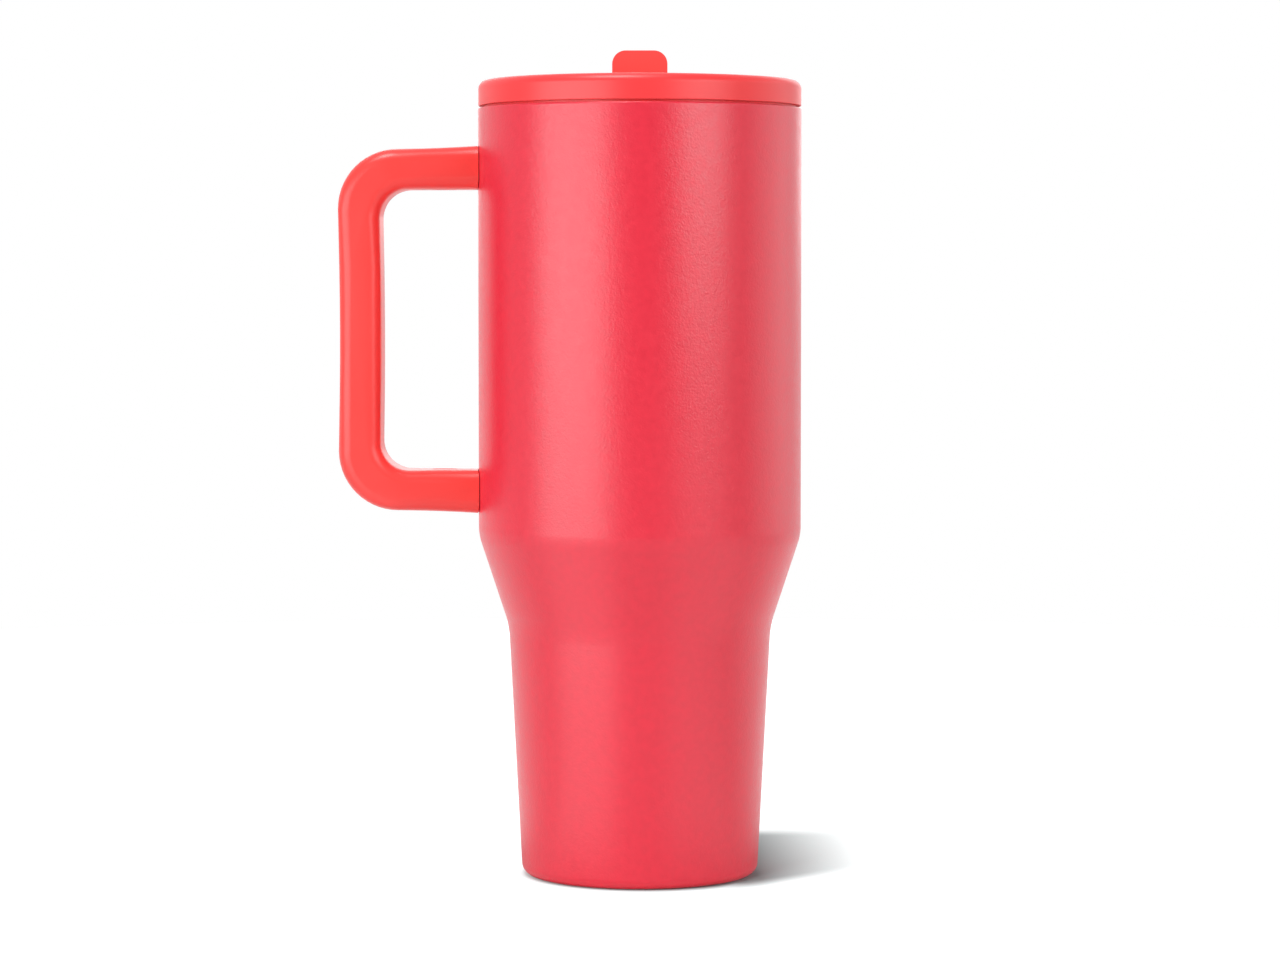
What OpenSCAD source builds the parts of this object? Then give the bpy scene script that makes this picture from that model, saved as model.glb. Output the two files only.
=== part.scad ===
// Insulated travel mug: vacuum steel body, screwed-on handle,
// push-in lid with a flip-up drinking spout and a straw.
// Millimetres, +Z up. The mug's axis is the Z axis and it stands on z = 0.
// The handle is on the -X side; the spout folds towards +Y.

/* [Body] */
// Outside diameter of the upper body
body_d = 101; // [99:0.5:104]
// Height of the lip above the table
lip_z = 240.1; // [234:0.1:246]
// Height where the straight upper wall would meet the shoulder cone
shoulder_top_z = 107; // [103:0.2:109]
// Height where the shoulder cone would meet the lower taper
shoulder_low_z = 78.4; // [75:0.2:81]
// Outside diameter at the foot of the shoulder cone
waist_d = 82.1; // [80:0.1:84]
// Outside diameter the lower taper would have on the table
base_d = 73.9; // [72:0.1:76]
// Rounding where the wall turns under
base_round = 3.6; // [2.6:0.1:4.6]
// Rounding of the lip's outer edge, where the wall curls in to the weld
lip_round = 1; // [0.8:0.1:1.2]
// Thickness of the outer steel wall
shell_t = 0.5; // [0.4:0.05:0.7]
// Thickness of the inner steel wall
liner_t = 0.4; // [0.3:0.05:0.5]
// Vacuum space between the two walls at the lip
vacuum_gap = 2.3; // [2:0.1:2.6]
// Height of the drink floor above the table
floor_z = 8; // [7.4:0.1:9]

/* [Foot] */
// Width of the steel ring between the taper's edge and the pad's recess
foot_ring = 5.1; // [4.8:0.1:6.5]
// Depth of the recess, which the non-slip pad fills
recess_h = 2; // [1.8:0.1:2.4]

/* [Handle] */
// Height of the middle of the handle
handle_z = 171.1; // [170:0.1:173]
// From the middle to the inner faces of the two arms
gap_half = 43.7; // [42:0.1:45]
// Arm height at the elbow
arm_h = 12.5; // [11.8:0.1:13]
// Extra arm height where it meets the body, on the outer side only
arm_flare = 1.2; // [0:0.05:1.4]
// From the mug's axis to the grip's outer face at mid height
reach = 93.3; // [91.5:0.1:95]
// Grip thickness, towards the mug, at mid height
grip_t = 13; // [12.4:0.1:13.4]
// How far the grip's outer face bows in at mid height
grip_bow = 0.5; // [0:0.05:0.8]
// Width of the grip
grip_w = 24; // [22:0.2:26]
// Width of the arms where they meet the body
arm_w = 16; // [15.4:0.2:17]
// Elbow radius, outer side
elbow_out = 18.5; // [17:0.1:20]
// Elbow radius, inner side
elbow_in = 9; // [8:0.1:9.4]
// Rounding of the bar's four long edges
bar_round = 4.2; // [3:0.1:4.8]
// Shadow gap between the arms' ends and the body
root_gap = 0.2; // [0.15:0.05:0.4]

/* [Handle fixings] */
// From the body's wall out to the two handle screws
screw_out = 10.5; // [9.5:0.1:12]
// Shank diameter of the screws
screw_d = 4; // [3.6:0.1:4.4]
// Head diameter of the screws
head_d = 7.4; // [7:0.1:7.6]
// Head height of the screws
head_h = 2; // [1.8:0.1:2.2]
// Thickness of the tongue on each welded lug
tongue_t = 3.2; // [2.8:0.1:3.4]

/* [Lid] */
// Height of the lid above the lip
lid_h = 8.6; // [8.2:0.1:9]
// Width of the raised rim
rim_w = 3.3; // [3:0.1:3.6]
// Rounding of the rim's outer edge
rim_round = 2.7; // [2:0.1:2.9]
// Shadow gap between the rim's skirt and the lip
seam_gap = 0.65; // [0.5:0.05:0.8]
// Depth of the shadow gap, inwards from the rim's outer face
seam_depth = 1.7; // [1.2:0.1:2]
// How far the deck lies below the rim
deck_drop = 2.7; // [2.5:0.1:2.9]
// Wall thickness of the lid mouldings
lid_t = 2; // [1.8:0.1:2.2]
// Depth of the plug below the lip
plug_depth = 16.1; // [15.4:0.1:16.8]
// Space between the plug and the liner
plug_gap = 0.9; // [0.7:0.1:1.2]
// Running gap between the gasket and the liner
gasket_gap = 0.05; // [0.03:0.01:0.08]

/* [Spout] */
// Depth of the spout's pivot below the rim
pivot_drop = 6.2; // [6:0.1:6.4]
// Radius of the hinge barrel
barrel_r = 6.5; // [6.2:0.1:6.6]
// Length of the hinge barrel and width of the thumb tab
tab_w = 17.2; // [17:0.1:18]
// Height of the thumb tab above the pivot
tab_h = 15.4; // [14.8:0.1:16]
// Thickness of the thumb tab
tab_t = 2.6; // [2.2:0.1:2.8]
// Radius of the tab's top corners
tab_round = 4.2; // [3:0.2:6]
// Length from the pivot to the spout's tip
spout_l = 34; // [32:0.2:35]
// How much the soft mouthpiece narrows towards its tip, on each side
sleeve_taper = 0.6; // [0:0.1:0.8]
// Rounding round the mouthpiece's tip
tip_round = 0.9; // [0.5:0.1:1.1]
// Trunnion diameter
trunnion_d = 5; // [4.4:0.1:5.2]
// Bore of the spout, the seal and the straw
flow_d = 6; // [5.4:0.1:6.2]

/* [Straw] */
// Outside diameter of the straw
straw_d = 8; // [7.8:0.1:8.4]
// Gap between the straw's foot and the drink floor
straw_gap = 4; // [3:0.5:8]

/* [Hidden] */
$fn = 96;
e = 0.5;                        // overshoot of a cut
side_gap = 0.4;                 // each side of anything that swings in the trough

body_r = body_d / 2;
liner_r = body_r - shell_t - vacuum_gap - liner_t;
// The liner keeps this distance to the outer face all the way down.
wall_w = shell_t + vacuum_gap + liner_t;
weld_r = body_r - lip_round - 0.2;  // where the two walls are welded along the lip
base_slope = (waist_d - base_d) / 2 / shoulder_low_z;
function low_r(z) = base_d / 2 + base_slope * z;

recess_r = base_d / 2 - foot_ring;
screw_x = body_r + screw_out;

plug_r = liner_r - plug_gap;
plug_z = lip_z - plug_depth;
rim_z = lip_z + lid_h;
lid_r = body_r - 0.1;
deck_z = rim_z - deck_drop;
under_z = deck_z - lid_t;
pivot_z = rim_z - pivot_drop;
seat_t = 3;                     // wall of the plug behind the gasket groove
groove_z = plug_z + 5.5;
groove_h = 5;
groove_d = 1.2;
flange_t = 2;
join_r = plug_r - lid_t;        // spigot of the lid shell inside the plug
flange_r = lid_r - rim_w + 0.9; // edge of the plug's flange, hidden inside the rim

arm_t = 9;                      // thickness of the spout arm
sleeve_t = 9.6;                 // thickness, width and edge rounding of the soft mouthpiece
sleeve_w = 16;
sleeve_round = 4.2;
trough_hw = tab_w / 2 + side_gap;
trough_z = pivot_z - 5.2;
tab_clear = 3.2;                // ahead of the tab when it lies in the trough
trough_y0 = -(tab_h + tab_clear);
trough_y1 = spout_l + 0.8;
hole_gap = 0.06;                // running gap of the trunnions, on the radius
seal_gap = 0.05;
saddle_r = barrel_r + 0.4;
ear_r = 5;
ear_w = 3.5;
trunnion_l = tab_w / 2 + 3.1;
seal_r = 5.5;
seal_z = pivot_z - 11;
sleeve_y = 19.5;
nozzle_r = flow_d / 2 + 1.1;
nozzle_y = spout_l - 4;

socket_l = 10;                  // straw socket under the plug floor
adapter_t = 1.2;
adapter_flange = 1.4;
socket_r = straw_d / 2 + adapter_t;
valve_y = -25;

lug_t = 1.2;                    // welded foot of a lug
lug_foot = [12, 8];
tongue_w = 10;
tongue_x = screw_x + 5.5;
core_arm = [13, 8.8];           // handle core section in the arms: width, height
core_grip = [7, 15];            // and in the grip: thickness, width
core_bend = 14;
cap_d = head_d + 0.6;
cap_t = 0.9;
handle_zs = [1, -1];            // upper arm, lower arm

// ---- small helpers ----
function unit(v) = v / norm(v);
// An arc of radius r put in the corner b of the path a-b-c.
function corner(a, b, c, r, n = 10) = r <= 0 ? [b] :
    let (u = unit(a - b), v = unit(c - b), half = acos(u * v) / 2)
    let (mid = b + unit(u + v) * r / sin(half), w = 180 - 2 * half)
    let (s = b + u * r / tan(half) - mid, t = b + v * r / tan(half) - mid)
    [for (i = [0:n]) mid + (s * sin((1 - i / n) * w) + t * sin(i / n * w)) / sin(w)];
function rounded(p, r) = let (last = len(p) - 1)
    [for (i = [0:last]) each (i == 0 || i == last ? [p[i]] : corner(p[i - 1], p[i], p[i + 1], r[i]))];
function left(d) = [-d[1], d[0]];
// The path moved t to its left.
function inset(p, t) = let (last = len(p) - 1)
    [for (i = [0:last])
        let (d1 = unit(i == 0 ? p[1] - p[0] : p[i] - p[i - 1]))
        let (d2 = unit(i == last ? p[i] - p[i - 1] : p[i + 1] - p[i]))
        p[i] + (left(d1) + left(d2)) / (1 + left(d1) * left(d2)) * t];
function reversed(p) = [for (i = [len(p) - 1:-1:0]) p[i]];

// A rounded rectangle's outline, with n steps round each corner.
function round_corners(w, h, r, n = 4) = [for (c = [0:3], i = [0:n])
    let (a = c * 90 + i * 90 / n, sx = (c == 0 || c == 3) ? 1 : -1, sy = c < 2 ? 1 : -1)
    [sx * (w / 2 - r) + r * cos(a), sy * (h / 2 - r) + r * sin(a)]];

// A solid through a row of cross-sections with the same number of points.
module skin(rings) {
    n = len(rings[0]);
    last = len(rings) - 1;
    sides = [for (i = [0:last - 1], j = [0:n - 1])
        let (a = i * n + j, b = i * n + (j + 1) % n) each [[a, a + n, b], [b, a + n, b + n]]];
    ends = [[for (j = [0:n - 1]) j], [for (j = [n - 1:-1:0]) last * n + j]];
    polyhedron([for (r = rings) each r], concat(sides, ends));
}
module ring(r_out, r_in, z0, z1) {
    translate([0, 0, z0]) difference() {
        cylinder(r = r_out, h = z1 - z0);
        translate([0, 0, -e]) cylinder(r = r_in, h = z1 - z0 + 2 * e);
    }
}
module round_rect(w, h, r) {
    square([w - 2 * r, h], center = true);
    square([w, h - 2 * r], center = true);
    for (x = [-1, 1], y = [-1, 1]) translate([x * (w / 2 - r), y * (h / 2 - r)]) circle(r);
}
module at_pivot() { translate([0, 0, pivot_z]) children(); }
module along_x(r, half) { rotate([0, 90, 0]) translate([0, 0, -half]) cylinder(r = r, h = 2 * half); }
module along_y(r, y0, y1) { translate([0, y1, 0]) rotate([90, 0, 0]) cylinder(r = r, h = y1 - y0); }
module bar_y(w, h, r, y0, y1) {
    translate([0, y1, 0]) rotate([90, 0, 0]) linear_extrude(y1 - y0) round_rect(w, h, r);
}

// ---- vacuum body ----
outer_path = [[recess_r, 0], [base_d / 2, 0], [waist_d / 2, shoulder_low_z],
    [body_r, shoulder_top_z], [body_r, lip_z], [weld_r, lip_z]];
module outer_shell() color("tomato")
    rotate_extrude($fn = 128) polygon(concat(
        rounded(outer_path, [0, base_round, 26, 15, lip_round, 0]),
        reversed(rounded(inset(outer_path, shell_t),
            [0, base_round - shell_t, 26 + shell_t, 15 - shell_t, lip_round - shell_t, 0]))));

liner_path = [[0, floor_z], [low_r(floor_z) - wall_w, floor_z],
    [waist_d / 2 - wall_w, shoulder_low_z + 1], [liner_r, shoulder_top_z + 1],
    [liner_r, lip_z], [weld_r, lip_z]];
module inner_liner() color("silver")
    rotate_extrude($fn = 128) polygon(concat(
        rounded(liner_path, [0, 7, 25, 16, 1.1, 0]),
        reversed(rounded(inset(liner_path, -liner_t),
            [0, 7 + liner_t, 25 - liner_t, 16 + liner_t, 1.1 - liner_t, 0]))));

dimple_r = 6;
dimple_h = 1;
port_r = 0.8;
module outer_base() color("silver") {
    under = [[recess_r - shell_t, 0], [recess_r - shell_t, recess_h], [dimple_r + 1, recess_h],
        [dimple_r, recess_h + dimple_h], [port_r, recess_h + dimple_h]];
    over = [[port_r, recess_h + dimple_h + shell_t], [dimple_r, recess_h + dimple_h + shell_t],
        [dimple_r + 1, recess_h + shell_t], [recess_r, recess_h + shell_t], [recess_r, 0]];
    rotate_extrude($fn = 128) polygon(concat(
        rounded(under, [0, 0.6, 0, 0, 0]), rounded(over, [0, 0, 0, 0.6 + shell_t, 0])));
}
module vacuum_seal() color("dimgray") {
    translate([0, 0, recess_h + 0.2]) cylinder(r = dimple_r - 1.4, h = dimple_h - 0.2);
    translate([0, 0, recess_h + 0.2]) cylinder(r = port_r, h = dimple_h + shell_t);
}
module getter() color("gray")
    translate([15, 0, recess_h + shell_t]) cylinder(d = 10, h = 1.2);
module base_pad() color("gray")
    cylinder(r = recess_r - shell_t - 0.9, h = recess_h);

// ---- handle ----
module lug(z) translate([0, 0, z]) {
    // Foot curved to the body and welded to it.
    intersection() {
        ring(body_r + lug_t, body_r, -lug_foot[1] / 2, lug_foot[1] / 2);
        translate([-body_r - 5, -lug_foot[0] / 2, -lug_foot[1] / 2]) cube([10, lug_foot[0], lug_foot[1]]);
    }
    difference() {
        translate([-tongue_x, -tongue_w / 2, -tongue_t / 2])
            cube([tongue_x - body_r - lug_t / 2, tongue_w, tongue_t]);
        translate([-screw_x, 0, -tongue_t]) cylinder(d = screw_d, h = 2 * tongue_t);
    }
}
arm_mid = gap_half + arm_h / 2;  // centre of an arm, from the middle of the handle
module upper_lug() color("silver") lug(handle_z + arm_mid);
module lower_lug() color("silver") lug(handle_z - arm_mid);

// Both sides of the bar as (x, z) from the middle of the handle, upper half only.
in_x = reach - grip_t;
function bow_out(z) = -reach - grip_bow * pow(z / 34, 2);
function bow_in(z) = -in_x - 0.7 * grip_bow * pow(z / 34, 2);
root_x = body_r - 1.6;
corner_x = reach + grip_bow;
corner_in_x = in_x + 0.7 * grip_bow;
top = gap_half + arm_h;
arm_run = corner_x - elbow_out - root_x;    // straight length of an arm's outer edge
function flare(x) = arm_flare * pow(max(0, (x + corner_x - elbow_out) / arm_run), 1.5);
arm_xs = [-root_x, -root_x - 6, -root_x - 12, -root_x - 18];
steps = 14;                     // round each elbow
outer_half = concat(
    [for (x = arm_xs) [x, top + flare(x)]],
    [for (i = [0:steps]) [-corner_x + elbow_out - elbow_out * sin(i * 90 / steps),
        top - elbow_out + elbow_out * cos(i * 90 / steps)]],
    [for (z = [20, 10]) [bow_out(z), z]]);
inner_half = concat(
    [for (x = arm_xs) [x, gap_half]],
    [for (i = [0:steps]) [-corner_in_x + elbow_in - elbow_in * sin(i * 90 / steps),
        gap_half - elbow_in + elbow_in * cos(i * 90 / steps)]],
    [for (z = [20, 10]) [bow_in(z), z]]);
function down(p) = [p[0], -p[1]];
outer_line = concat(outer_half, [[bow_out(0), 0]], [for (p = reversed(outer_half)) down(p)]);
inner_line = concat(inner_half, [[bow_in(0), 0]], [for (p = reversed(inner_half)) down(p)]);
function bar_hw(x) = let (k = min(1, max(0, (-x - root_x) / (in_x - root_x))))
    (arm_w + (grip_w - arm_w) * k * k * (3 - 2 * k)) / 2;
// One cross-section: a rounded rectangle from the inner point to the outer point.
function section(p, q) = let (d = unit(q - p), mid = (p + q) / 2)
    [for (c = round_corners(norm(q - p), 2 * bar_hw(mid[0]), bar_round))
        [mid[0] + d[0] * c[0], c[1], mid[1] + d[1] * c[0]]];
module bar() translate([0, 0, handle_z])
    skin([for (i = [0:len(outer_line) - 1]) section(inner_line[i], outer_line[i])]);

// The hard core: a plain C of rectangular bar.
core_x = (reach + in_x) / 2;
module core_solid() translate([0, 0, handle_z]) {
    for (s = handle_zs) {
        translate([-core_x + core_bend, -core_arm[0] / 2, s * arm_mid - core_arm[1] / 2])
            cube([core_x - core_bend - root_x, core_arm[0], core_arm[1]]);
        translate([-core_x + core_bend, 0, s * (arm_mid - core_bend)]) rotate([90, 0, 0])
            rotate([0, 0, s > 0 ? 90 : 180]) rotate_extrude(angle = 90)
                translate([core_bend, 0]) square([core_grip[0], core_arm[0]], center = true);
    }
    translate([-core_x - core_grip[0] / 2, -core_grip[1] / 2, -(arm_mid - core_bend)])
        cube([core_grip[0], core_grip[1], 2 * (arm_mid - core_bend)]);
}
screw_seat = gap_half + 0.1 + cap_t + head_h;   // under the screw heads, from the middle
module body_cut(r) translate([0, 0, handle_z - 2 * top]) cylinder(r = r, h = 4 * top, $fn = 128);
module mirror_arms() for (s = [0, 1]) translate([0, 0, handle_z]) mirror([0, 0, s]) children();
module handle_core() color("dimgray") difference() {
    core_solid();
    body_cut(body_r + lug_t);
    mirror_arms() {
        translate([-tongue_x - 0.3, -tongue_w / 2 - 0.2, arm_mid - tongue_t / 2])
            cube([tongue_x - body_r + 2, tongue_w + 0.4, tongue_t]);
        translate([-screw_x, 0, arm_mid - 8]) cylinder(d = screw_d + 0.3, h = 12);
        translate([-screw_x, 0, gap_half - 1]) cylinder(d = head_d + 0.2, h = screw_seat - gap_half + 1);
    }
}
module handle_grip() color("tomato") difference() {
    bar();
    core_solid();
    body_cut(body_r + root_gap);
    mirror_arms() translate([-screw_x, 0, gap_half - 1]) cylinder(d = cap_d, h = 4);
}
module handle_screws() color("silver") mirror_arms() translate([-screw_x, 0, 0]) {
    translate([0, 0, screw_seat - head_h]) cylinder(d = head_d, h = head_h);
    translate([0, 0, screw_seat]) cylinder(d = screw_d, h = arm_mid + tongue_t / 2 + 1 - screw_seat);
}
module screw_caps() color("tomato") mirror_arms()
    translate([-screw_x, 0, gap_half + 0.1]) cylinder(d = cap_d, h = cap_t);

// ---- lid ----
spigot_h = 8;
boss_r = 8;
block_z = pivot_z - 9.1;
module trough_plan(grow) {
    translate([0, (trough_y0 + trough_y1) / 2])
        round_rect(2 * (trough_hw + grow), trough_y1 - trough_y0 + 2 * grow, 3 + grow);
}
module lid_shell() color("tomato") {
    rim = [[flange_r, lip_z], [lid_r - seam_depth, lip_z], [lid_r - seam_depth, lip_z + seam_gap],
        [lid_r, lip_z + seam_gap], [lid_r, rim_z], [lid_r - rim_w, rim_z],
        [lid_r - rim_w - 0.4, deck_z], [0, deck_z]];
    difference() {
        union() {
            rotate_extrude($fn = 128) polygon(concat(
                rounded(rim, [0, 0, 0, 0.3, rim_round, 0.6, 0.6, 0]), [[0, under_z], [flange_r, under_z]]));
            ring(join_r, join_r - 1.6, under_z - spigot_h + lid_t, under_z + e);
            translate([0, 0, trough_z - lid_t]) linear_extrude(deck_z - trough_z) trough_plan(1.8);
            at_pivot() along_x(ear_r, trough_hw + ear_w);
            translate([-trough_hw - 1.8, -boss_r, block_z])
                cube([2 * trough_hw + 3.6, 2 * boss_r, trough_z - block_z]);
            translate([0, 0, plug_z + lid_t]) cylinder(r = boss_r, h = block_z - plug_z);
        }
        translate([0, 0, trough_z]) linear_extrude(20) trough_plan(0);
        at_pivot() {
            along_x(trunnion_d / 2 + hole_gap, trough_hw + ear_w + e);
            along_x(saddle_r, trough_hw);
        }
        translate([0, 0, seal_z]) cylinder(r = seal_r, h = 10);
        translate([0, 0, plug_z]) cylinder(d = flow_d, h = 20);
        translate([0, trough_y0 + 4.6, trough_z - lid_t - e]) cylinder(d = 2, h = lid_t + 2 * e);
    }
}
module lid_base() color("tomato") {
    wall = [[plug_r, plug_z], [plug_r, groove_z], [plug_r - groove_d, groove_z],
        [plug_r - groove_d, groove_z + groove_h], [plug_r, groove_z + groove_h],
        [plug_r, lip_z], [flange_r, lip_z], [flange_r, lip_z + flange_t],
        [plug_r, lip_z + flange_t], [plug_r, under_z], [join_r, under_z],
        [join_r, groove_z + groove_h + 3], [plug_r - seat_t, groove_z + groove_h + 2],
        [plug_r - seat_t, plug_z + lid_t], [0, plug_z + lid_t]];
    difference() {
        union() {
            rotate_extrude($fn = 128) polygon(rounded(concat([[0, plug_z]], wall),
                [0, 2, 0, 0, 0, 0, 0, 0, 0, 0, 0, 0, 0, 0, 1, 0]));
            translate([0, 0, plug_z - socket_l]) cylinder(r = socket_r + 1.6, h = socket_l + e);
        }
        translate([0, 0, plug_z - socket_l - e]) cylinder(r = socket_r, h = socket_l + e);
        translate([0, 0, plug_z - e]) cylinder(d = flow_d, h = lid_t + 2 * e);
        translate([0, valve_y, plug_z - e]) cylinder(r = 1.5, h = lid_t + 2 * e);
    }
}
module lid_gasket() color("whitesmoke") {
    r0 = plug_r - groove_d;
    r1 = liner_r - gasket_gap;
    z0 = groove_z;
    z1 = groove_z + groove_h;
    // A band in the groove with two lips turned up against the liner.
    rotate_extrude($fn = 128) polygon([[r0, z0], [plug_r - 0.1, z0], [plug_r, z0 + 0.5], [r1, z0 + 1.4],
        [r1, z0 + 2], [plug_r - 0.1, z0 + 1.5], [plug_r, z0 + 2.8], [r1, z0 + 3.7],
        [r1, z0 + 4.3], [plug_r - 0.1, z0 + 3.8], [plug_r - 0.1, z1], [r0, z1]]);
}
module spout_seal() color("whitesmoke") difference() {
    ring(seal_r, flow_d / 2, seal_z, trough_z - 0.3);
    at_pivot() along_x(barrel_r + seal_gap, 10);
}
module vent_valve() color("whitesmoke") translate([0, valve_y, 0]) {
    translate([0, 0, plug_z - 1.2]) cylinder(r = 4, h = 1.2);
    translate([0, 0, plug_z - 0.5]) cylinder(r = 1.5, h = lid_t + 1);
    translate([0, 0, plug_z + lid_t]) cylinder(r = 2.1, h = 1.4);
}
module straw_adapter() color("whitesmoke") {
    low = plug_z - socket_l;
    ring(socket_r, straw_d / 2, low - adapter_flange, plug_z);
    ring(socket_r + 1.6, straw_d / 2, low - adapter_flange, low);
}
module straw() color("white")
    ring(straw_d / 2, flow_d / 2, floor_z + straw_gap, plug_z);

// ---- spout, drawn folded down ----
module tab_outline() {
    w = tab_w / 2;
    translate([-w, 0]) square([tab_w, tab_h - tab_round]);
    translate([-w + tab_round, 0]) square([tab_w - 2 * tab_round, tab_h]);
    for (s = [-1, 1]) translate([s * (w - tab_round), tab_h - tab_round]) circle(tab_round);
}
tab_y = -4.6;
module spout_body() color("tomato") at_pivot() difference() {
    union() {
        along_x(barrel_r, tab_w / 2);
        along_x(trunnion_d / 2, trunnion_l);
        bar_y(15, arm_t, 3.4, 0, sleeve_y);
        along_y(nozzle_r, sleeve_y - e, nozzle_y);
        along_y(nozzle_r + 0.5, sleeve_y + 4, sleeve_y + 6);
        translate([0, tab_y + tab_t, 0]) rotate([90, 0, 0]) linear_extrude(tab_t) tab_outline();
        for (x = [-5.4, 5.4]) translate([x - 0.8, tab_y + tab_t - e, 0]) cube([1.6, 5.6, 8.5]);
    }
    along_y(flow_d / 2, -barrel_r - e, nozzle_y + e);
}
// The soft sleeve narrows to its tip and closes in a rounding: [y, inset on each side].
tip_y = spout_l - tip_round;
sleeve_line = concat([[sleeve_y, 0]],
    [for (a = [0:15:90]) [tip_y + tip_round * sin(a), sleeve_taper + tip_round * (1 - cos(a))]]);
module mouthpiece() color("salmon") at_pivot() difference() {
    skin([for (s = sleeve_line)
        [for (c = round_corners(sleeve_w - 2 * s[1], sleeve_t - 2 * s[1], sleeve_round - s[1]))
            [c[0], s[0], -c[1]]]]);
    along_y(nozzle_r, sleeve_y - e, nozzle_y);
    along_y(nozzle_r + 0.5, sleeve_y + 4, sleeve_y + 6);
    along_y(flow_d / 2, sleeve_y, spout_l + e);
}

outer_shell();
inner_liner();
outer_base();
vacuum_seal();
getter();
base_pad();
upper_lug();
lower_lug();
handle_core();
handle_grip();
handle_screws();
screw_caps();
lid_shell();
lid_base();
lid_gasket();
spout_seal();
vent_valve();
straw_adapter();
straw();
spout_body();
mouthpiece();
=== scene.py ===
# %% [markdown]
# An insulated travel mug: a tall vacuum-walled steel body with a tapered foot,
# a moulded handle, and a push-in lid with a flip-up spout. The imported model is
# loaded first and gives every place. The pieces that carry the looks are then
# made again with finer curves and softened edges, and each of them rides on
# the body it belongs to.

# %% Load the frame
import math

import bmesh
import bpy
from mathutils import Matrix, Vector


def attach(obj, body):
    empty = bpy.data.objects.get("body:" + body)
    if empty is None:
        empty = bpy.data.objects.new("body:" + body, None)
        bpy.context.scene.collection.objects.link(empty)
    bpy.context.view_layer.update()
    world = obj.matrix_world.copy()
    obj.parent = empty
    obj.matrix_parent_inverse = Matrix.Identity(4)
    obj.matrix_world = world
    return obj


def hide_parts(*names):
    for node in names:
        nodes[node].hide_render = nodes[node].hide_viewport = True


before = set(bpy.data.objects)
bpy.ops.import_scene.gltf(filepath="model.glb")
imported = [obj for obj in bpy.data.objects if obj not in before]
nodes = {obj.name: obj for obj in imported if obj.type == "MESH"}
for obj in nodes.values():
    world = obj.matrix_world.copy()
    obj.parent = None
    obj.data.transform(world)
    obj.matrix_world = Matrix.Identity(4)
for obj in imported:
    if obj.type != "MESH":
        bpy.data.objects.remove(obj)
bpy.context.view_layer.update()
MM = 0.001

# %% [markdown]
# The camera comes first. It stands far back with a long lens, so the sides of
# the tall mug stay nearly parallel: a short lens close by would spread them.
# The lens sits lower than the lid, so the lid's deck is hidden and the foot's
# front edge bulges downwards.

# %% Camera
FOCAL_LENGTH, SENSOR_WIDTH = 107.1, 36
CAMERA_SIDE, CAMERA_DISTANCE, CAMERA_HEIGHT = 0.00006, 1.1935, 0.1865
CAMERA_PITCH = math.radians(3.0)

camera = bpy.data.objects.new("camera", bpy.data.cameras.new("camera"))
bpy.context.scene.collection.objects.link(camera)
camera.data.lens = FOCAL_LENGTH
camera.data.sensor_width = SENSOR_WIDTH
camera.data.clip_start = 0.01
camera.location = (CAMERA_SIDE, -CAMERA_DISTANCE, CAMERA_HEIGHT)
camera.rotation_euler = (math.pi / 2 - CAMERA_PITCH, 0, 0)
bpy.context.scene.camera = camera
bpy.context.scene.view_settings.view_transform = "Standard"
print("camera at", [round(v, 3) for v in camera.location])

# %% [markdown]
# Colours are easiest to pick as display values from 0 to 255, but nodes mix
# light, so they want linear numbers. The curve between the two is the usual
# display one. Two more helpers make a colour a little deeper or paler, and
# turn a single number into a grey.

# %% Colour helpers
DEEPER, PALER = 0.97, 1.02


def linear(r, g, b):
    """Display colour values from 0 to 255, as the linear numbers that nodes use."""
    def one(v):
        v = v / 255
        return v / 12.92 if v <= 0.04045 else ((v + 0.055) / 1.055) ** 2.4
    return (one(r), one(g), one(b), 1.0)


def shaded(colour, factor):
    """The same colour, deeper with a factor below 1 and paler above it."""
    return tuple(v * factor for v in colour[:3]) + (1.0,)


def grey(value):
    return (value, value, value, 1.0)


print("display grey 128 is linear", round(linear(128, 128, 128)[0], 3))

# %% [markdown]
# Materials are small node trees. Each reads Object coordinates, so that a
# grain keeps its real size on every piece. The class below adds nodes by name
# and links them, which keeps each finish down to a few lines.

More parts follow.
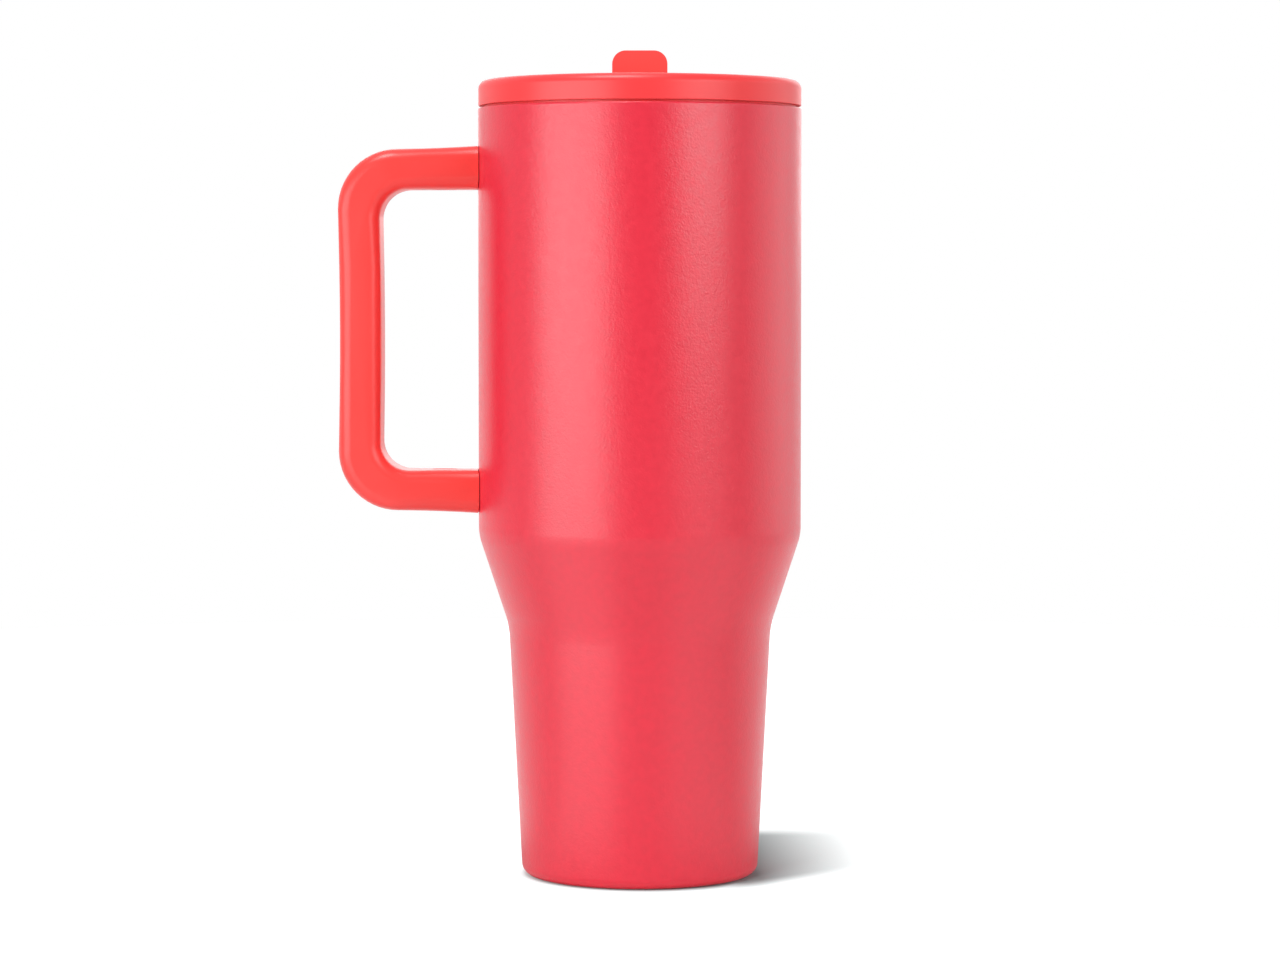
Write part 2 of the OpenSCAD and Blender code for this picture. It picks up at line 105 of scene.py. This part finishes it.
# %% Material helper
class Tree:
    """A new material's nodes, with short calls to add and link them."""

    def __init__(self, name):
        self.material = bpy.data.materials.new(name)
        self.material.use_nodes = True
        self.nodes = self.material.node_tree.nodes
        self.links = self.material.node_tree.links
        self.shader = self.nodes["Principled BSDF"]
        self.object = self.add("ShaderNodeTexCoord").outputs["Object"]
        print("material", name)

    def add(self, kind, **settings):
        node = self.nodes.new(kind)
        for key, value in settings.items():
            setattr(node, key, value)
        return node

    def noise(self, scale, detail=2.0, roughness=0.5, place=None):
        """Noise of that scale, on Object coordinates or on a changed place."""
        node = self.add("ShaderNodeTexNoise")
        self.links.new(place or self.object, node.inputs["Vector"])
        node.inputs["Scale"].default_value = scale
        node.inputs["Detail"].default_value = detail
        node.inputs["Roughness"].default_value = roughness
        return node.outputs["Fac"]

    def ramp(self, value, low, high, start=0.3, end=0.7):
        """A colour or grey that runs from low to high as value goes from start to end."""
        node = self.add("ShaderNodeValToRGB")
        node.color_ramp.elements[0].position = start
        node.color_ramp.elements[1].position = end
        node.color_ramp.elements[0].color = low
        node.color_ramp.elements[1].color = high
        self.links.new(value, node.inputs["Fac"])
        return node.outputs["Color"]

    def bump(self, height, distance, strength=1.0, under=None):
        """A bumped normal, over another one if a normal is given under it."""
        node = self.add("ShaderNodeBump")
        node.inputs["Distance"].default_value = distance
        node.inputs["Strength"].default_value = strength
        self.links.new(height, node.inputs["Height"])
        if under is not None:
            self.links.new(under, node.inputs["Normal"])
        return node.outputs["Normal"]

    def set(self, **values):
        """Sets or links inputs of the shader; an underscore stands for a space."""
        for key, value in values.items():
            socket = self.shader.inputs[key.replace("_", " ")]
            if isinstance(value, bpy.types.NodeSocket):
                self.links.new(value, socket)
            else:
                socket.default_value = value
        return self


# %% [markdown]
# The body is powder coated. Baked powder flows into a skin that is never quite
# smooth: it has a fine grain, flecks of about a millimetre that show at the
# edge of a highlight, and a slow orange peel. A colour texture alone would
# look printed, so three noises are stacked as bump, each over the normal of
# the larger one. The orange peel also moves colour and roughness very little.

# %% Powder coat
GRAIN_SCALE, FLECK_SCALE, PEEL_SCALE = 1500, 1000, 420
GRAIN_DEPTH, FLECK_DEPTH, PEEL_DEPTH = 0.095 * MM, 0.07 * MM, 0.02 * MM
COAT_GLOSS, COAT_SMOOTHEST, COAT_ROUGHEST = 0.65, 0.28, 0.34
CORAL_COAT = linear(232, 39, 62)


def powder_coat(name, colour):
    """Grain over flecks over orange peel, on one even colour."""
    tree = Tree(name)
    grain = tree.noise(GRAIN_SCALE, detail=3, roughness=0.6)
    flecks = tree.noise(FLECK_SCALE, detail=2, roughness=0.6)
    orange_peel = tree.noise(PEEL_SCALE, detail=1)
    skin = tree.bump(orange_peel, PEEL_DEPTH, strength=0.5)
    skin = tree.bump(flecks, FLECK_DEPTH, strength=0.6, under=skin)
    return tree.set(
        Specular_IOR_Level=COAT_GLOSS,
        Base_Color=tree.ramp(orange_peel, shaded(colour, DEEPER), shaded(colour, PALER)),
        Roughness=tree.ramp(orange_peel, grey(COAT_SMOOTHEST), grey(COAT_ROUGHEST)),
        Normal=tree.bump(grain, GRAIN_DEPTH, strength=0.7, under=skin),
    ).material


coat = powder_coat("coral_powder_coat", CORAL_COAT)

# %% [markdown]
# Handle, lid and spout are moulded in a slightly more orange coral. The
# mould's surface is fine and even, so the plastic is satin with almost no
# grain, and colour and roughness drift a little over the width of a hand. The
# soft parts are silicone: light enters them, so they get some subsurface
# scattering, which no base colour alone can give.

# %% Plastics and rubbers
FINE_GRAIN_SCALE, DRIFT_SCALE = 1900, 35
LIGHT_DEPTH = 1.5 * MM
RED_LIGHT_GOES_DEEPEST = (1.0, 0.5, 0.4)


def moulded(name, colour, roughness, grain=0.012, softness=0.0):
    """A moulded finish: grain is in millimetres, softness is how much light enters."""
    tree = Tree(name)
    fine = tree.noise(FINE_GRAIN_SCALE)
    drift = tree.noise(DRIFT_SCALE)
    tree.set(
        Base_Color=tree.ramp(drift, shaded(colour, DEEPER), shaded(colour, PALER)),
        Roughness=tree.ramp(drift, grey(roughness - 0.02), grey(roughness + 0.02)),
        Normal=tree.bump(fine, grain * MM, strength=0.5),
    )
    if softness:
        tree.set(Subsurface_Weight=softness, Subsurface_Scale=LIGHT_DEPTH)
        tree.set(Subsurface_Radius=RED_LIGHT_GOES_DEEPEST)
    return tree.material


plastic = moulded("coral_plastic", linear(250, 60, 63), 0.38)
spout_plastic = moulded("coral_spout_plastic", linear(254, 80, 75), 0.40)
soft_grip = moulded("coral_soft_touch", linear(252, 68, 64), 0.35, grain=0.004)
spout_silicone = moulded(
    "coral_silicone", linear(250, 104, 96), 0.42, grain=0.006, softness=0.2
)
clear_silicone = moulded(
    "milky_silicone", linear(226, 226, 222), 0.38, grain=0.006, softness=0.35
)
straw_plastic = moulded(
    "frosted_straw", linear(238, 238, 236), 0.25, grain=0.004, softness=0.15
)
foot_rubber = moulded("foot_rubber", linear(214, 60, 66), 0.62, grain=0.03)
core_plastic = moulded("core_plastic", linear(52, 52, 54), 0.6, grain=0.02)
solder_glass = moulded("solder_glass", linear(54, 56, 60), 0.3, grain=0.01)

# %% [markdown]
# The steel inside is drawn, then brushed and electropolished. Brushing runs
# round the cup, so a Mapping node squeezes the noise upwards: it varies
# quickly with Z and hardly at all round the axis. The steel isn't fully
# metallic, because a perfect mirror in a deep narrow cup would look black.

# %% Bare steel
LINES_SCALE, LINES_ROUND, LINES_UP = 4, 5, 420
LINES_DEPTH = 0.003 * MM
METAL_SHARE = 0.7


def brushed_steel(name, roughness):
    """Fine lines round the axis, in tone, roughness and bump."""
    tree = Tree(name)
    squeeze = tree.add("ShaderNodeMapping")
    squeeze.inputs["Scale"].default_value = (LINES_ROUND, LINES_ROUND, LINES_UP)
    tree.links.new(tree.object, squeeze.inputs["Vector"])
    lines = tree.noise(LINES_SCALE, detail=4, place=squeeze.outputs["Vector"])
    return tree.set(
        Base_Color=tree.ramp(lines, linear(222, 222, 220), linear(234, 233, 231)),
        Metallic=METAL_SHARE,
        Roughness=tree.ramp(lines, grey(roughness - 0.06), grey(roughness + 0.08)),
        Normal=tree.bump(lines, LINES_DEPTH, strength=0.25),
    ).material


steel = brushed_steel("brushed_steel", 0.36)
getter_metal = brushed_steel("getter_metal", 0.55)

# %% [markdown]
# Round pieces are turned. A few corner points make half of a section, each
# corner is rounded by a vertex bevel, and a full spin turns the outline into
# a closed wall, as a spinning lathe forms the real steel. The bevel's reach is
# worked out from the corner's angle, so that the radius comes out as asked.

# %% Turning helpers
SAME_POINT = 0.0005 * MM


def round_corner(bm, corner, radius, segments):
    """Rounds one corner of a flat outline to that radius."""
    a, b = (edge.other_vert(corner).co - corner.co for edge in corner.link_edges)
    reach = radius / math.tan(a.angle(b) / 2)
    bmesh.ops.bevel(
        bm, geom=[corner], offset=reach, offset_type="OFFSET", segments=segments,
        profile=0.5, affect="VERTICES", material=-1,
    )


def turned(corners, steps=256, segments=12):
    """A closed turned piece from (radius, height, rounding) corners in millimetres."""
    bm = bmesh.new()
    ring = [bm.verts.new((r * MM, 0, z * MM)) for r, z, _ in corners]
    for a, b in zip(ring, ring[1:] + ring[:1]):
        bm.edges.new((a, b))
    for corner, (_, _, rounding) in zip(ring, corners):
        if rounding:
            round_corner(bm, corner, rounding * MM, segments)
    bmesh.ops.spin(
        bm, geom=bm.verts[:] + bm.edges[:], cent=(0, 0, 0), axis=(0, 0, 1),
        angle=math.tau, steps=steps, use_merge=True, use_duplicate=False,
    )
    bmesh.ops.remove_doubles(bm, verts=bm.verts, dist=SAME_POINT)
    bmesh.ops.recalc_face_normals(bm, faces=bm.faces)
    return bm


# %% [markdown]
# Every new piece is finished the same way: the bmesh becomes a mesh with
# smooth faces, edges sharper than an angle stay crisp, the piece is parented to
# the empty of the body it rides on and takes its finish, and the imported nodes
# it stands for are hidden.

# %% Piece helper
SHARP_ANGLE = math.radians(35)


def make_piece(name, bm, body, material, stands_for):
    """Turns a bmesh into a shown piece that rides on a body."""
    mesh = bpy.data.meshes.new(name)
    bm.to_mesh(mesh)
    bm.free()
    mesh.shade_smooth()
    mesh.set_sharp_from_angle(angle=SHARP_ANGLE)
    mesh.materials.append(material)
    piece = bpy.data.objects.new(name, mesh)
    bpy.context.scene.collection.objects.link(piece)
    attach(piece, body)
    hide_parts(*stands_for)
    print(name, len(mesh.polygons), "faces")
    return piece


# %% [markdown]
# The body's outer wall is one sheet of steel: a tube that is spun down to a
# taper which fits a cup holder, turned under at the foot and turned in at the
# lip, where it meets the inner cup. A tapered cylinder would show a crease at
# the waist and the shoulder. Here both bends have the large radius that
# forming needs, and the inner side follows the outer one at the sheet's
# thickness, so each bend keeps the same centre.

# %% Body wall
SHEET = 0.5
BODY_R, WAIST_R, FOOT_R = 50.49, 41.05, 36.95
RECESS_R, WELD_R = FOOT_R - 5.1, BODY_R - 1.2
WAIST_Z, SHOULDER_Z, LIP_Z = 78.4, 107, 240.1
FOOT_ROUND, WAIST_ROUND, SHOULDER_ROUND, LIP_ROUND = 3.6, 26, 15, 0.6
BEND_RISE = 0.1
outside = [
    (RECESS_R, 0, 0), (FOOT_R, 0, FOOT_ROUND), (WAIST_R, WAIST_Z, WAIST_ROUND),
    (BODY_R, SHOULDER_Z, SHOULDER_ROUND), (BODY_R, LIP_Z, LIP_ROUND), (WELD_R, LIP_Z, 0),
]
inside = [
    (WELD_R, LIP_Z - SHEET, 0), (BODY_R - SHEET, LIP_Z - SHEET, LIP_ROUND - SHEET),
    (BODY_R - SHEET, SHOULDER_Z + BEND_RISE, SHOULDER_ROUND - SHEET),
    (WAIST_R - SHEET, WAIST_Z + BEND_RISE, WAIST_ROUND + SHEET),
    (FOOT_R - SHEET, SHEET, FOOT_ROUND - SHEET), (RECESS_R, SHEET, 0),
]
make_piece(
    "body_wall", turned(outside + inside), "mug", coat, ["outer_shell"]
)

# %% [markdown]
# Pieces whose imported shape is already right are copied, cleaned of the extra
# edges that triangles bring, and given a fine bevel. Nothing moulded has a
# perfectly sharp edge, and a bevel of a quarter of a millimetre is what makes
# a rim catch the light. A bevel alone would bend the shading of the large flat
# faces beside it, so a Weighted Normal modifier follows it.

# %% Softened copies
FLAT_WITHIN = math.radians(0.3)
SAME_CORNER = 0.001 * MM


def softened(node, body, material, edge=0.25, prepare=None):
    """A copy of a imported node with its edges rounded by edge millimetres."""
    bm = bmesh.new()
    bm.from_mesh(nodes[node].data)
    bmesh.ops.remove_doubles(bm, verts=bm.verts, dist=SAME_CORNER)
    if prepare:
        prepare(bm)
    bmesh.ops.dissolve_limit(bm, angle_limit=FLAT_WITHIN, verts=bm.verts, edges=bm.edges)
    piece = make_piece(node + "_soft", bm, body, material, [node])
    bevel = piece.modifiers.new("edges", "BEVEL")
    bevel.width = edge * MM
    bevel.segments = 2
    bevel.limit_method = "ANGLE"
    bevel.angle_limit = SHARP_ANGLE
    flat = piece.modifiers.new("flat_faces", "WEIGHTED_NORMAL")
    flat.keep_sharp = True


# %% [markdown]
# The spout's stem has a barb, a raised ring that sits in a groove inside the
# soft mouthpiece and holds it. It is hidden when the two are together, and it
# is as wide as the mouthpiece is thick, so it would show through. A boolean
# would cut it away but leave slivers. Instead the ring's own points are drawn
# in until they are flush with the stem, and the groove's faces are taken out
# of the bore, whose walls are then bridged again.

# %% Stem without its barb
PIVOT_Z = 242.5
STEM_R, BARB_R = 4.1, 4.6
BARB_START, BARB_END = 23.5, 25.5
SLACK, FINE_SLACK = 0.1, 0.02


def from_stem(vert):
    """Distance from the stem's axis in millimetres."""
    return math.hypot(vert.co.x / MM, vert.co.z / MM - PIVOT_Z)


def on_barb(vert):
    """Whether a point belongs to the barb, or to the groove round it."""
    level = vert.co.y / MM
    beside = BARB_START - SLACK < level < BARB_END + SLACK
    return beside and from_stem(vert) < BARB_R + FINE_SLACK


def flatten_barb(bm):
    """Draws the barb ring in until it is flush with the stem."""
    for vert in bm.verts:
        if on_barb(vert) and from_stem(vert) > STEM_R:
            factor = STEM_R / from_stem(vert)
            vert.co.x *= factor
            vert.co.z = (vert.co.z - PIVOT_Z * MM) * factor + PIVOT_Z * MM
    bmesh.ops.remove_doubles(bm, verts=bm.verts, dist=FINE_SLACK / 2 * MM)


# %% Bore without its groove
def fill_groove(bm):
    """Takes the barb's groove out of the bore and closes the walls again."""
    groove = [face for face in bm.faces if all(on_barb(vert) for vert in face.verts)]
    bmesh.ops.delete(bm, geom=groove, context="FACES")
    rims = [edge for edge in bm.edges if edge.is_boundary]
    bore = [edge for edge in rims if all(from_stem(v) < STEM_R + SLACK for v in edge.verts)]
    leftover = [edge for edge in rims if edge not in bore]
    bmesh.ops.bridge_loops(bm, edges=bore)
    bmesh.ops.holes_fill(bm, edges=leftover, sides=0)
    bmesh.ops.recalc_face_normals(bm, faces=bm.faces)
    print("groove", len(groove), "faces, still open:", sum(e.is_boundary for e in bm.edges))


# %% [markdown]
# Five moulded pieces are shown softened: the lid's shell and its plug, the
# spout with its soft mouthpiece, and the handle's grip. They could be modelled
# again from nothing, but a lid and a spout have to fit each other through the
# whole swing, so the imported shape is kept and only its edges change. The soft
# mouthpiece gets the widest rounding, because it goes between the lips.

# %% Lid, spout and grip
softened("lid_shell", "lid", plastic)
softened("lid_base", "lid", plastic)
softened("spout_body", "spout", spout_plastic, prepare=flatten_barb)
softened(
    "mouthpiece", "spout", spout_silicone, edge=0.45, prepare=fill_groove
)
softened("handle_grip", "mug", soft_grip)

# %% [markdown]
# The other pieces are small or inside: the inner cup, the base disc, lugs,
# screws, seals and the straw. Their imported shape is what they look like, so
# they stay as they are and only get a finish. The old material is cleared
# first, because an added one would land in a second slot that no face uses.

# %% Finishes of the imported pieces
finish = {
    "inner_liner": steel, "outer_base": coat, "vacuum_seal": solder_glass,
    "getter": getter_metal, "base_pad": foot_rubber, "upper_lug": steel,
    "lower_lug": steel, "handle_core": core_plastic, "handle_screws": steel,
    "screw_caps": plastic, "lid_gasket": clear_silicone, "spout_seal": clear_silicone,
    "vent_valve": clear_silicone, "straw_adapter": clear_silicone, "straw": straw_plastic,
}
for node, material in finish.items():
    nodes[node].data.materials.clear()
    nodes[node].data.materials.append(material)
print(len(finish), "packed pieces have their finish")

# %% [markdown]
# The floor is plain and white. It has to stay white for the camera and still
# hold the mug's shadow. A white floor under strong lamps would wash the shadow
# out, so the camera meets a darker floor, and a glow that only some rays see
# lifts it back to white. The glow is taken away in a painted shadow patch
# beside the foot and a painted contact shadow round it, where the darker floor
# shows with the lamps' own shading. The helpers below work out where a point of
# the floor lies and fade one level into another.

# %% Floor helpers
floor_tree = Tree("white_floor")
floor_tree.set(Roughness=1.0, Specular_IOR_Level=0.0)
rays = floor_tree.add("ShaderNodeLightPath")


def fade(value, start, end, kind="SMOOTHSTEP", bottom=0.0, top=1.0):
    """The bottom level up to start and the top level from end on."""
    node = floor_tree.add("ShaderNodeMapRange", interpolation_type=kind)
    node.inputs["From Min"].default_value = start
    node.inputs["From Max"].default_value = end
    node.inputs["To Min"].default_value = bottom
    node.inputs["To Max"].default_value = top
    floor_tree.links.new(value, node.inputs["Value"])
    return node.outputs["Result"]


def measured(operation, place, point):
    """Distance of a floor place from a point, or its reach along a direction."""
    node = floor_tree.add("ShaderNodeVectorMath", operation=operation)
    node.inputs[1].default_value = point
    floor_tree.links.new(place, node.inputs[0])
    return node.outputs["Value"]


def combine(operation, first, *others):
    """One math operation carried through all the values."""
    total = first
    for value in others:
        node = floor_tree.add("ShaderNodeMath", operation=operation)
        floor_tree.links.new(total, node.inputs[0])
        floor_tree.links.new(value, node.inputs[1])
        total = node.outputs[0]
    return total


# %% [markdown]
# A painted shadow patch lies to the right of the foot and a little back: there
# the floor's glow is taken away. Five straight fades are multiplied, one for
# each of its edges, which gives a soft-cornered patch. A round fade paints the
# thin contact shadow where the foot meets the floor.

# %% Where the painted shadow and contact shadow are
# Each edge of the painted shadow: a direction on the floor, how far along it
# the shadow has ended, how far it is still full, and how it runs between the two.
PAINTED_SHADOW_EDGES = [
    ((0.997, 0.080), 0.079, 0.0365, "LINEAR"),
    ((1, -1), 0.052, 0.036, "SMOOTHSTEP"),
    ((-1, 1), 0.052, 0.030, "SMOOTHSTEP"),
    ((0, 1), 0.101, 0.077, "SMOOTHSTEP"),
    ((-1, -1), 0.015, -0.010, "SMOOTHSTEP"),
]
# The painted contact shadow: a ring round the foot where the glow is taken away.
PAINTED_CONTACT_SHADOW_IN, PAINTED_CONTACT_SHADOW_OUT = 0.0335, 0.043
PAINTED_FOOT_SHADE_CENTRE = (0.002, 0, 0)
edges = []
for (x, y), ended, full, kind in PAINTED_SHADOW_EDGES:
    reach = measured("DOT_PRODUCT", floor_tree.object, Vector((x, y, 0)).normalized())
    edges.append(fade(reach, ended, full, kind))
# The painted shadow: the product of the fades, 1 inside the patch.
painted_shadow = combine("MULTIPLY", *edges)
from_foot = measured("DISTANCE", floor_tree.object, PAINTED_FOOT_SHADE_CENTRE)
clear_of_painted_contact_shadow = fade(from_foot, PAINTED_CONTACT_SHADOW_IN, PAINTED_CONTACT_SHADOW_OUT)
print("the shadow is made of", len(edges), "fades")

# %% [markdown]
# The coat mirrors the floor, and a real floor is brightest where the softboxes
# light it. So the floor gets painted light that only mirror rays see: a glow
# that is strongest in the directions of the two front softboxes, weaker behind
# the mug, and taken away right at the foot as painted shade.

# %% Painted floor light that the coat mirrors
PAINTED_SHEEN_LOW, PAINTED_SHEEN_HIGH = 0.22, 1.22
MIRROR_FROM, MIRROR_FULL = 0.034, 0.115
facing = floor_tree.add("ShaderNodeVectorMath", operation="NORMALIZE")
floor_tree.links.new(floor_tree.object, facing.inputs[0])


def painted_light_towards(azimuth, level, start=0.84, end=0.965):
    """Painted floor glow of that level towards an azimuth, and 0 away from it."""
    angle = math.radians(azimuth)
    towards = (math.sin(angle), -math.cos(angle), 0)
    return fade(measured("DOT_PRODUCT", facing.outputs["Vector"], towards), start, end, top=level)


# Painted light on the floor for mirror rays: towards each front softbox and behind.
painted_light_left = painted_light_towards(-46, 0.9)
painted_light_right = painted_light_towards(49, 0.5)
behind = painted_light_towards(180, 0.35, start=-0.3, end=0.6)
painted_sheen = combine("ADD", painted_light_left, painted_light_right, behind)
painted_sheen = fade(painted_sheen, 0, 1, "LINEAR", PAINTED_SHEEN_LOW, PAINTED_SHEEN_HIGH)
# Painted shade: the mirror glow is taken away near the foot.
away_from_foot = fade(from_foot, MIRROR_FROM, MIRROR_FULL)
painted_mirror_glow = combine("MULTIPLY", rays.outputs["Is Glossy Ray"], painted_sheen, away_from_foot)
print("sheen from", PAINTED_SHEEN_LOW, "to", PAINTED_SHEEN_HIGH)

# %% [markdown]
# Now the parts come together. Bounced light meets a white floor and the camera
# the darker one, and the glow goes to camera, mirror and see-through rays. It
# is full outside the painted shadow, so the painted shadow is turned round with
# a fade from 1 to 0, and the painted contact shadow takes the glow away at the
# foot too. From below the floor is clear, so that the mug's underside can be
# looked at.

# %% Floor colour and glow
FLOOR_FOR_LIGHT = grey(0.8)
# The camera's floor is a little cyan, so that red light bounced off the mug shows grey on it.
FLOOR_FOR_CAMERA = (0.35, 0.46, 0.46, 1.0)
tone = floor_tree.add("ShaderNodeMix", data_type="RGBA")
tone.inputs["A"].default_value = FLOOR_FOR_LIGHT
tone.inputs["B"].default_value = FLOOR_FOR_CAMERA
floor_tree.links.new(rays.outputs["Is Camera Ray"], tone.inputs["Factor"])
seen = combine(
    "MAXIMUM", rays.outputs["Is Camera Ray"], painted_mirror_glow, rays.outputs["Is Transmission Ray"]
)
# The glow is taken away in the painted shadow patch and the painted contact shadow at the foot.
white = combine("MINIMUM", fade(painted_shadow, 1, 0, "LINEAR"), clear_of_painted_contact_shadow)
glow = combine("MULTIPLY", white, seen)
floor_tree.set(
    Base_Color=tone.outputs["Result"], Emission_Color=grey(1.0), Emission_Strength=glow
)
sides = floor_tree.add("ShaderNodeMixShader")
underside = floor_tree.add("ShaderNodeNewGeometry").outputs["Backfacing"]
see_through = floor_tree.add("ShaderNodeBsdfTransparent").outputs["BSDF"]
floor_tree.links.new(underside, sides.inputs[0])
floor_tree.links.new(floor_tree.shader.outputs[0], sides.inputs[1])
floor_tree.links.new(see_through, sides.inputs[2])
output = floor_tree.nodes["Material Output"]
floor_tree.links.new(sides.outputs[0], output.inputs["Surface"])
print("floor material has", len(floor_tree.nodes), "nodes")

# %% [markdown]
# The floor itself is a flat disc.

# %% Floor disc
FLOOR_R = 0.9
bm = bmesh.new()
bmesh.ops.create_circle(bm, cap_ends=True, radius=FLOOR_R, segments=128)
mesh = bpy.data.meshes.new("floor")
bm.to_mesh(mesh)
bm.free()
mesh.materials.append(floor_tree.material)
floor = bpy.data.objects.new("floor", mesh)
bpy.context.scene.collection.objects.link(floor)
print("floor", 2 * FLOOR_R, "m across")

# %% [markdown]
# Beyond the floor there is only the world, a studio that is white behind the
# mug and darker on the camera's side. An even white one would fill the front
# of the coat with a pale veil. How far a ray looks back, from -1 to 1, is the
# Y of its direction, and a smooth step turns it into a level.

# %% Studio behind and in front
MIRROR_FRONT, MIRROR_BACK = 0.30, 1.0
FRONT_ENDS, BACK_STARTS = -0.6, 0.7
world = bpy.data.worlds.new("studio")
bpy.context.scene.world = world
world.use_nodes = True
world_nodes, world_links = world.node_tree.nodes, world.node_tree.links
backdrop = world_nodes["Background"]
backdrop.inputs["Color"].default_value = grey(1.0)
looking = world_nodes.new("ShaderNodeTexCoord").outputs["Generated"]
direction = world_nodes.new("ShaderNodeSeparateXYZ")
world_links.new(looking, direction.inputs[0])
depth = world_nodes.new("ShaderNodeMapRange")
depth.interpolation_type = "SMOOTHSTEP"
depth.inputs["From Min"].default_value = FRONT_ENDS
depth.inputs["From Max"].default_value = BACK_STARTS
depth.inputs["To Min"].default_value = MIRROR_FRONT
depth.inputs["To Max"].default_value = MIRROR_BACK
world_links.new(direction.outputs["Y"], depth.inputs["Value"])
print("studio from", MIRROR_FRONT, "in front to", MIRROR_BACK, "behind")

# %% [markdown]
# Which level a ray gets depends on its kind. The camera sees pure white, as it
# does on the floor, and so does a ray that passes through something. Mirror
# rays see the studio. All other rays, which light the mug, get very little, so
# that the lamps shape the wall.

# %% What each ray sees
WORLD_LIGHT = 0.10
world_rays = world_nodes.new("ShaderNodeLightPath").outputs


def choose(test, yes, no):
    """yes where test is 1 and no where it is 0."""
    mix = world_nodes.new("ShaderNodeMix")
    world_links.new(test, mix.inputs["Factor"])
    for socket, value in ((mix.inputs["A"], no), (mix.inputs["B"], yes)):
        if isinstance(value, bpy.types.NodeSocket):
            world_links.new(value, socket)
        else:
            socket.default_value = value
    return mix.outputs["Result"]


strength = choose(world_rays["Is Glossy Ray"], depth.outputs["Result"], WORLD_LIGHT)
strength = choose(world_rays["Is Transmission Ray"], 1.0, strength)
strength = choose(world_rays["Is Camera Ray"], 1.0, strength)
world_links.new(strength, backdrop.inputs["Strength"])
print("world light", WORLD_LIGHT)

# %% [markdown]
# The light comes from large soft panels, as in a studio. A mug this round would
# look flat under one big lamp. Two front panels with a gap between them give
# the coat its two long highlights and the deeper red down the middle, a weak
# one fills the right edge, one hangs over the lid and one stands behind. Power
# is worked out from the panel's area, so that a panel can be made larger or
# smaller and its face stays as bright.

# %% Lamps
def softbox(name, azimuth, height, distance, width, tall, radiance, aim=0.13, tint=(1, 1, 1)):
    """A panel round the mug. Azimuth 0 is beside the camera, positive to the right."""
    lamp = bpy.data.lights.new(name, "AREA")
    lamp.shape = "RECTANGLE"
    lamp.size, lamp.size_y = width, tall
    lamp.energy = math.pi * width * tall * radiance
    lamp.color = tint
    panel = bpy.data.objects.new(name, lamp)
    angle = math.radians(azimuth)
    panel.location = (distance * math.sin(angle), -distance * math.cos(angle), height)
    to_mug = Vector((0, 0, aim)) - panel.location
    panel.rotation_euler = to_mug.to_track_quat("-Z", "Y").to_euler()
    panel.visible_camera = False
    bpy.context.scene.collection.objects.link(panel)
    print(name, round(lamp.energy, 2), "W")


softbox("left_softbox", azimuth=-48, height=0.28, distance=1.25, width=1.25, tall=0.64,
        radiance=3.8, tint=(0.94, 1, 1))
softbox("right_softbox", azimuth=44.5, height=0.50, distance=1.3, width=0.85, tall=0.60,
        radiance=4.3, tint=(0.95, 1, 1))
softbox("right_fill", azimuth=105, height=0.40, distance=1.2, width=1.0, tall=0.9,
        radiance=0.88, tint=(1, 0.9, 0.9))
softbox("top_panel", azimuth=-32, height=1.65, distance=0.6, width=0.6, tall=0.6,
        radiance=13.0, aim=0.0)
softbox("back_fill", azimuth=175, height=0.6, distance=1.3, width=1.2, tall=0.8,
        radiance=1.3)
